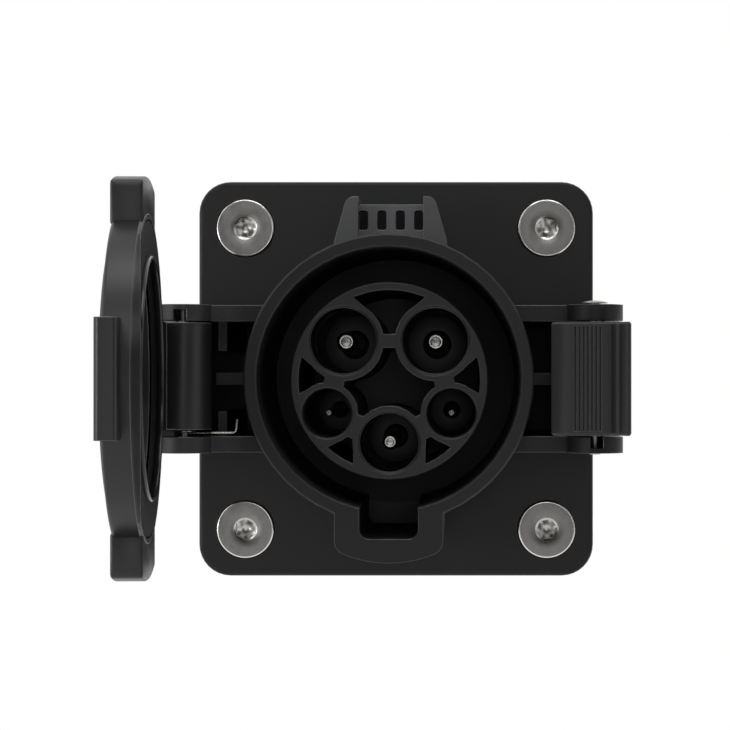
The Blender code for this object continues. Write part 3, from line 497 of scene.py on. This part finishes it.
def build_mount_screws():
    """The four countersunk screws, each with its socket turned its own way."""
    steps = 96
    head, lip, shank = 0.00525, 0.00545, 0.0030
    socket, mouth, raised, edge = 0.0036, 0.00214, 0.0004, 0.00025
    pitch, thread_depth = 0.0010, 0.00055
    for name, step in (("upper_left", 1.6), ("upper_right", 0.9), ("lower_left", 0.1),
                       ("lower_right", 2.4)):
        node = "mount_screw_" + name
        low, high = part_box(node)
        x, _, z = middle((low, high))
        top, end = -low[1], -high[1]
        flange = top - raised
        neck = flange - head + shank
        sides = hexagon(socket, math.radians(30) + 2 * math.pi / steps * round(step * 4))
        rings = [tip(top - 0.0031), ring(0.0011, top - 0.00245, steps),
                 ring(0.0017, top - 0.0021, steps),
                 ring(lambda a: sides(a) * 0.985, top - 0.0020, steps),
                 ring(sides, top - 0.0019, steps),
                 ring(sides, lambda a: top - 0.00004 - (mouth - sides(a)) * 0.75, steps),
                 ring(mouth, top - 0.00004, steps), ring(mouth + 0.00006, top, steps),
                 ring(head * 0.72, top, steps)]
        rings += [ring(r, h, steps) for r, h in bend(lip - edge, top - edge, edge, 90, 0)]
        rings += [ring(lip, flange + 0.00002, steps), ring(head, flange + 0.00002, steps),
                  ring(head, flange, steps), ring(shank + 0.0002, neck + 0.0002, steps),
                  ring(shank, neck - 0.0002, steps)]
        rings += thread(shank, thread_depth, pitch, neck - pitch, end + 0.0008, steps)
        rings += [ring(shank - 0.0009, end, steps), tip(end)]
        piece(node + "_turned", skin(node, rings), screw_steel, "stainless_steel", "inlet",
              (x, 0, z), node)


# Contacts: turned pins with a bright nose and a crimp barrel behind

def build_contacts():
    """The five pins, with a dimple in the nose and a bore in the crimp barrel."""
    steps = 64
    for name, (nose, body, _) in CONTACTS.items():
        node = name + "_pin"
        low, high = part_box(node)
        x, _, z = middle((low, high))
        front, end = -low[1], -high[1]
        tail = (high[0] - low[0]) / 2
        neck = tail - 0.0006
        rim = nose * 0.14
        wire_bore = end + 0.0088
        profile = [(nose * 0.10, front - nose * 0.06), (nose * 0.20, front - nose * 0.16),
                   (nose * 0.58, front - nose * 0.22), (nose * 0.68, front - nose * 0.02),
                   (nose * 0.72, front)]
        profile += bend(nose - rim, front - rim, rim, 90, 20)
        profile += [(body * 0.97, front - body * 1.05), (body, front - body * 1.25),
                    (body, 0.0004), (tail - 0.0001, 0.0003), (tail, 0.0001), (tail, -0.0140),
                    (neck, -0.0142), (neck, -0.0250), (neck - 0.00015, -0.0252),
                    (neck - 0.00015, -0.0256), (neck, -0.0258), (neck, end + 0.0003),
                    (neck - 0.0002, end), (neck - 0.0009, end), (neck - 0.0010, end + 0.0003),
                    (neck - 0.0010, wire_bore)]
        rings = [tip(front - nose * 0.05)] + [ring(r, h, steps) for r, h in profile]
        rings.append(tip(wire_bore))
        finish = silver if body > 0.001 else dull_silver
        piece(node + "_turned", skin(node, rings), finish, "contact_silver", "inlet", (x, 0, z),
              node)


def build_collars():
    """Soft collar round each pin at the floor of its well."""
    for name, (_, body, well) in CONTACTS.items():
        x, _, z = middle(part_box(name + "_pin"))
        wide, grip, edge = well - 0.0001, body - 0.00004, 0.0002
        profile = [(grip, 0.0036), (grip, 0.0050), (body + 0.0005, 0.0048),
                   (body + 0.0009, 0.0044)] + bend(wide - edge, 0.0042, edge, 90, 0, 3)
        profile += [(wide, 0.0041), (body + 0.0004, 0.0041), (body + 0.0002, 0.0036)]
        piece(name + "_collar", closed_ring(name + "_collar", profile, 48), collar_rubber,
              "seal_rubber", "inlet", (x, 0, z))


def build_sleeves():
    """Glossy liner with a rounded mouth in each of the three wide wells."""
    mouth, bottom, outer_edge, inner_edge = 0.0462, 0.0300, 0.0001, 0.00012
    for name in ("line_1", "line_2", "ground"):
        well = CONTACTS[name][2]
        x, _, z = middle(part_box(name + "_pin"))
        outer, inner = well + 0.00005, well - 0.00018
        profile = [(outer, bottom)]
        profile += bend(outer - outer_edge, mouth - outer_edge, outer_edge, 0, 90, 3)
        profile += bend(inner + inner_edge, mouth - inner_edge, inner_edge, 90, 180, 4)
        profile += [(inner, bottom)]
        piece(name + "_sleeve", closed_ring(name + "_sleeve", profile, 64), rib_rubber,
              "core_plastic", "inlet", (x, 0, z))


# Hinge pin, latch pin and torsion springs

def build_pins():
    """Plain hinge pin and domed latch pin."""
    steps = 64
    radius, edge = 0.0010, 0.00025
    for node in ("hinge_pin", "latch_pin"):
        low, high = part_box(node)
        x, y, _ = middle((low, high))
        top, end = high[2], low[2]
        if node == "hinge_pin":
            profile = bend(radius - edge, top - edge, edge, 90, 0, 3)
        else:
            low_head = top - 0.0007
            top = low_head + 0.00045
            end += 0.0006
            profile = [(0.0007, top - 0.00002), (0.0013, top - 0.0001), (0.0019, top - 0.00025),
                       (0.0022, low_head + 0.0001), (0.0022, low_head), (radius, low_head)]
        profile += bend(radius - edge, end + edge, edge, 0, -90, 3)
        rings = [tip(top, True)] + [ring(r, h, steps, True) for r, h in profile] + [tip(end, True)]
        piece(node + "_turned", skin(node, rings), stainless, "stainless_steel", "inlet",
              (x, y, 0), node)


def build_spacer():
    """Black half washer behind the spring, between the lid's knuckle and the lower arm."""
    outer, inner, low, high = 0.0045, 0.0027, -0.00980, -0.00868
    first, sweep, steps = 90, 168, 24
    span = [math.radians(first + sweep * i / steps) for i in range(steps + 1)]
    outline = [(outer * math.cos(a), outer * math.sin(a)) for a in span]
    outline += [(inner * math.cos(a), inner * math.sin(a)) for a in reversed(span)]
    mesh = prism("hinge_spacer", outline, low, high, 0.0001, True)
    piece("hinge_spacer", mesh, seal_rubber, "seal_rubber", "inlet", HINGE)


def wire(name, points, replaced):
    """Round spring wire along a smooth path."""
    curve = bpy.data.curves.new(name, "CURVE")
    curve.dimensions = "3D"
    curve.bevel_depth = WIRE / 2
    curve.bevel_resolution = 4
    curve.use_fill_caps = True
    spline = curve.splines.new("POLY")
    spline.points.add(len(points) - 1)
    for point, place in zip(spline.points, points):
        point.co = (*place, 1)
    spline.use_smooth = True
    curve.materials.append(spring_steel)
    item = bpy.data.objects.new(name, curve)
    bpy.context.scene.collection.objects.link(item)
    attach(item, "inlet")
    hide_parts(replaced)


def coil(x, y, start, turns, pitch, first, per_turn=40):
    """Points of a coil about an upright pin, rising from its start."""
    points = []
    for i in range(turns * per_turn + 1):
        angle = math.radians(first) - 2 * math.pi * i / per_turn
        points.append((x + COIL * math.cos(angle), y - COIL * math.sin(angle),
                       start + pitch * i / per_turn))
    return points


def rounded_path(corners, per_corner=8):
    """Path through corners given as (point, radius), with each corner turned on an arc."""
    points = [Vector(corners[0][0])]
    for i in range(1, len(corners) - 1):
        here, radius = Vector(corners[i][0]), corners[i][1]
        back = (Vector(corners[i - 1][0]) - here).normalized()
        ahead = (Vector(corners[i + 1][0]) - here).normalized()
        start, end = here + back * radius, here + ahead * radius
        for j in range(per_corner + 1):
            t = j / per_corner
            points.append(start * (1 - t) ** 2 + here * 2 * t * (1 - t) + end * t ** 2)
    points.append(Vector(corners[-1][0]))
    return [tuple(p) for p in points]


def build_springs():
    """Torsion springs round the two pins, with their lower legs."""
    x, y, _ = HINGE
    low = -0.0093
    leg = rounded_path([((-0.0261, y + COIL, low + 0.0024), 0),
                        ((-0.0263, y + COIL, low), 0.0009), ((x, y + COIL, low), 0)])
    turns = coil(x, y, low, turns=5, pitch=0.00062, first=-90)
    wire("hinge_spring_wire", leg + turns, "hinge_spring")
    x, y, _ = LATCH
    low, rest, corner = -0.0005, -0.03855, 0.0004
    leg = rounded_path([((0.0295, rest, low), 0), ((0.0301, rest, low), corner),
                        ((x - COIL, rest - 0.0040, low), corner), ((x - COIL, y, low), 0)])
    turns = coil(x, y, low, turns=6, pitch=0.00075, first=180)
    wire("latch_spring_wire", leg + turns, "latch_spring")


# Panel gasket

def build_gasket():
    """Panel gasket with a bead along each edge."""
    low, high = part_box("panel_gasket")
    outer = (high[0] - low[0]) / 2
    inner = outer - 0.0036
    thick = high[1] - low[1]
    bead, chamfer = 0.00035, 0.0001
    profile = [(inner, bead)] + bend(inner + bead, bead, bead, 180, 360, 8)
    profile += [(inner + 3 * bead, bead * 0.9), (outer - 3 * bead, bead * 0.9)]
    profile += bend(outer - bead, bead, bead, 180, 360, 8)
    profile += [(outer, thick - chamfer), (outer - chamfer, thick), (inner + chamfer, thick),
                (inner, thick - chamfer)]
    mesh = closed_ring("panel_gasket", profile)
    piece("panel_gasket_beaded", mesh, seal_rubber, "seal_rubber", "inlet", (0, high[1] - thick, 0),
          "panel_gasket")


# Lid: fuller ears, a crisp rim and the rib that closes on the core's surround

def on_lid(item):
    """Turns a piece drawn round the closed lid's middle to the open lid."""
    opened = Matrix.Rotation(math.radians(-LID_OPEN), 4, "Z")
    item.matrix_world = Matrix.Translation(HINGE) @ opened @ Matrix.Translation((-HINGE[0], 0, 0))


def ear_outline():
    """Upper ear seen on the closed lid, from the rim to its arched end."""
    half, reach, arch, corner, root = 0.0101, 0.0310, 0.0380, 0.0010, 0.0250
    end = half - corner
    drop = arch - math.sqrt(arch ** 2 - end ** 2)
    steps = 6
    right = bend(end, reach - drop - corner, corner, 0, 74, 4)
    across = [end * (1 - i / steps) for i in range(1, 2 * steps)]
    top = [(x, reach - arch + math.sqrt(arch ** 2 - x ** 2)) for x in across]
    widest = math.asin(half / root)
    inner = [(root * math.sin(widest * i / steps), root * math.cos(widest * i / steps))
             for i in range(-steps, steps + 1)]
    return right + top + [(-x, y) for x, y in reversed(right)] + inner


def build_lid():
    """The finer pieces of the lid over its CAD node."""
    upper = ear_outline()
    lower = [(-x, -y) for x, y in upper]
    for name, outline in (("lid_ear_upper", upper), ("lid_ear_lower", lower)):
        mesh = prism(name, outline, LID_INNER + 0.00006, LID_OUTER + 0.00027, 0.0004)
        on_lid(piece(name, mesh, ear_plastic, "lid_plastic", "lid", (0, 0, 0)))
    wide, top, edge = 0.02573, LID_OUTER + 0.00002, 0.0006
    profile = [(0.0241, LID_OUTER - 0.0005), (0.0241, top)]
    profile += bend(wide - edge, top - edge, edge, 90, 0)
    profile += [(wide, LID_INNER + 0.0004), (0.0252, LID_INNER + 0.0006)]
    on_lid(piece("lid_rim", closed_ring("lid_rim", profile), ear_plastic, "lid_plastic", "lid",
                 (0, 0, 0)))
    crest, half = 0.0186, 0.0003
    profile = [(crest - half, LID_INNER + 0.0005)]
    profile += bend(crest, LID_INNER - 0.0004, half, 180, 360, 8)
    profile += [(crest + half, LID_INNER + 0.0005)]
    on_lid(piece("lid_rib", closed_ring("lid_rib", profile), rib_rubber, "seal_rubber", "lid",
                 (0, 0, 0)))


# Stage and light

def stage():
    """Pale floor that sweeps up into a backdrop, white to the camera and to reflections."""
    near, back, low, high, half = -1.8, 1.7, -0.115, 1.6, 2.4
    curve, steps = 0.30, 12
    line = [(near, low), (back - curve, low)]
    for i in range(1, steps + 1):
        angle = math.radians(90 * i / steps)
        line.append((back - curve + curve * math.sin(angle), low + curve - curve * math.cos(angle)))
    line.append((back, high))
    mesh = bpy.data.meshes.new("sweep")
    points = [(x, y, z) for y, z in line for x in (-half, half)]
    faces = [(2 * i, 2 * i + 1, 2 * i + 3, 2 * i + 2) for i in range(len(line) - 1)]
    mesh.from_pydata(points, [], faces)
    for face in mesh.polygons:
        face.use_smooth = True
    sweep = bpy.data.objects.new("sweep", mesh)
    bpy.context.scene.collection.objects.link(sweep)
    made, n, shader = new_material("pale_paper")
    n.feed(shader, {"Base Color": (0.80, 0.80, 0.80, 1), "Roughness": 0.9})
    ray = n.add("LightPath")
    depth = n.add("SeparateXYZ", {0: n.add("TexCoord").outputs["Object"]}).outputs["Y"]
    behind = n.spread(depth, 0, 1, -0.60, -0.35)
    mirrored = n.math("MULTIPLY", ray.outputs["Is Glossy Ray"], behind)
    seen = n.math("MAXIMUM", ray.outputs["Is Camera Ray"], mirrored)
    seen = n.math("MAXIMUM", seen, ray.outputs["Is Transmission Ray"])
    glow = n.add("Emission", {"Color": (1, 1, 1, 1), "Strength": 1.0})
    share = n.math("MULTIPLY", seen, n.spread(depth, 0.8, 1.0, 0.15, 0.28))
    mix = n.add("MixShader", {0: share, 1: shader.outputs[0], 2: glow.outputs[0]})
    output = made.node_tree.nodes["Material Output"]
    made.node_tree.links.new(mix.outputs[0], output.inputs["Surface"])
    mesh.materials.append(made)


def lamp(name, place, aim, width, height, power):
    """Soft rectangular lamp."""
    data = bpy.data.lights.new(name, "AREA")
    data.shape = "RECTANGLE"
    data.size = width
    data.size_y = height
    data.energy = power
    item = bpy.data.objects.new(name, data)
    item.location = place
    item.rotation_euler = (Vector(aim) - Vector(place)).to_track_quat("-Z", "Y").to_euler()
    bpy.context.scene.collection.objects.link(item)


def light():
    """Soft boxes left, right, above and in front, and a dim surround."""
    lamp("left", (-0.75, -0.42, 0.35), (0, 0, 0), 0.5, 0.8, 2.3)
    lamp("right", (0.80, -0.50, 0.25), (0, 0, 0), 0.5, 0.8, 0.9)
    lamp("top", (0, -0.30, 0.85), (0, -0.02, 0), 0.9, 0.4, 3.2)
    lamp("front_top", (0, -0.95, 0.60), (0, 0, 0), 0.7, 0.3, 1.9)
    lamp("front", (0.06, -1.30, 0.05), (0, 0, 0), 0.3, 0.3, 0.6)
    lamp("low_left", (-0.60, -0.55, -0.03), (0, 0, 0), 0.4, 0.12, 1.15)
    world = bpy.data.worlds.new("surround")
    world.use_nodes = True
    n = Nodes(world.node_tree)
    ray = n.add("LightPath")
    seen = n.math("MAXIMUM", ray.outputs["Is Camera Ray"], ray.outputs["Is Transmission Ray"])
    way = n.add("SeparateXYZ", {0: n.add("TexCoord").outputs["Generated"]}).outputs["Y"]
    behind = n.math("MULTIPLY", ray.outputs["Is Glossy Ray"], n.spread(way, 0, 1, -0.15, 0.30))
    seen = n.math("MAXIMUM", seen, behind)
    n.feed(world.node_tree.nodes["Background"], {"Color": (1, 1, 1, 1),
                                                 "Strength": n.spread(seen, 0.10, 1.0)})
    bpy.context.scene.world = world


bpy.context.scene.view_settings.view_transform = "Standard"
look()
dress_nodes()
smooth_nodes()
build_mount_screws()
build_contacts()
build_pins()
build_springs()
build_gasket()
build_collars()
build_sleeves()
build_spacer()
build_lid()
stage()
light()
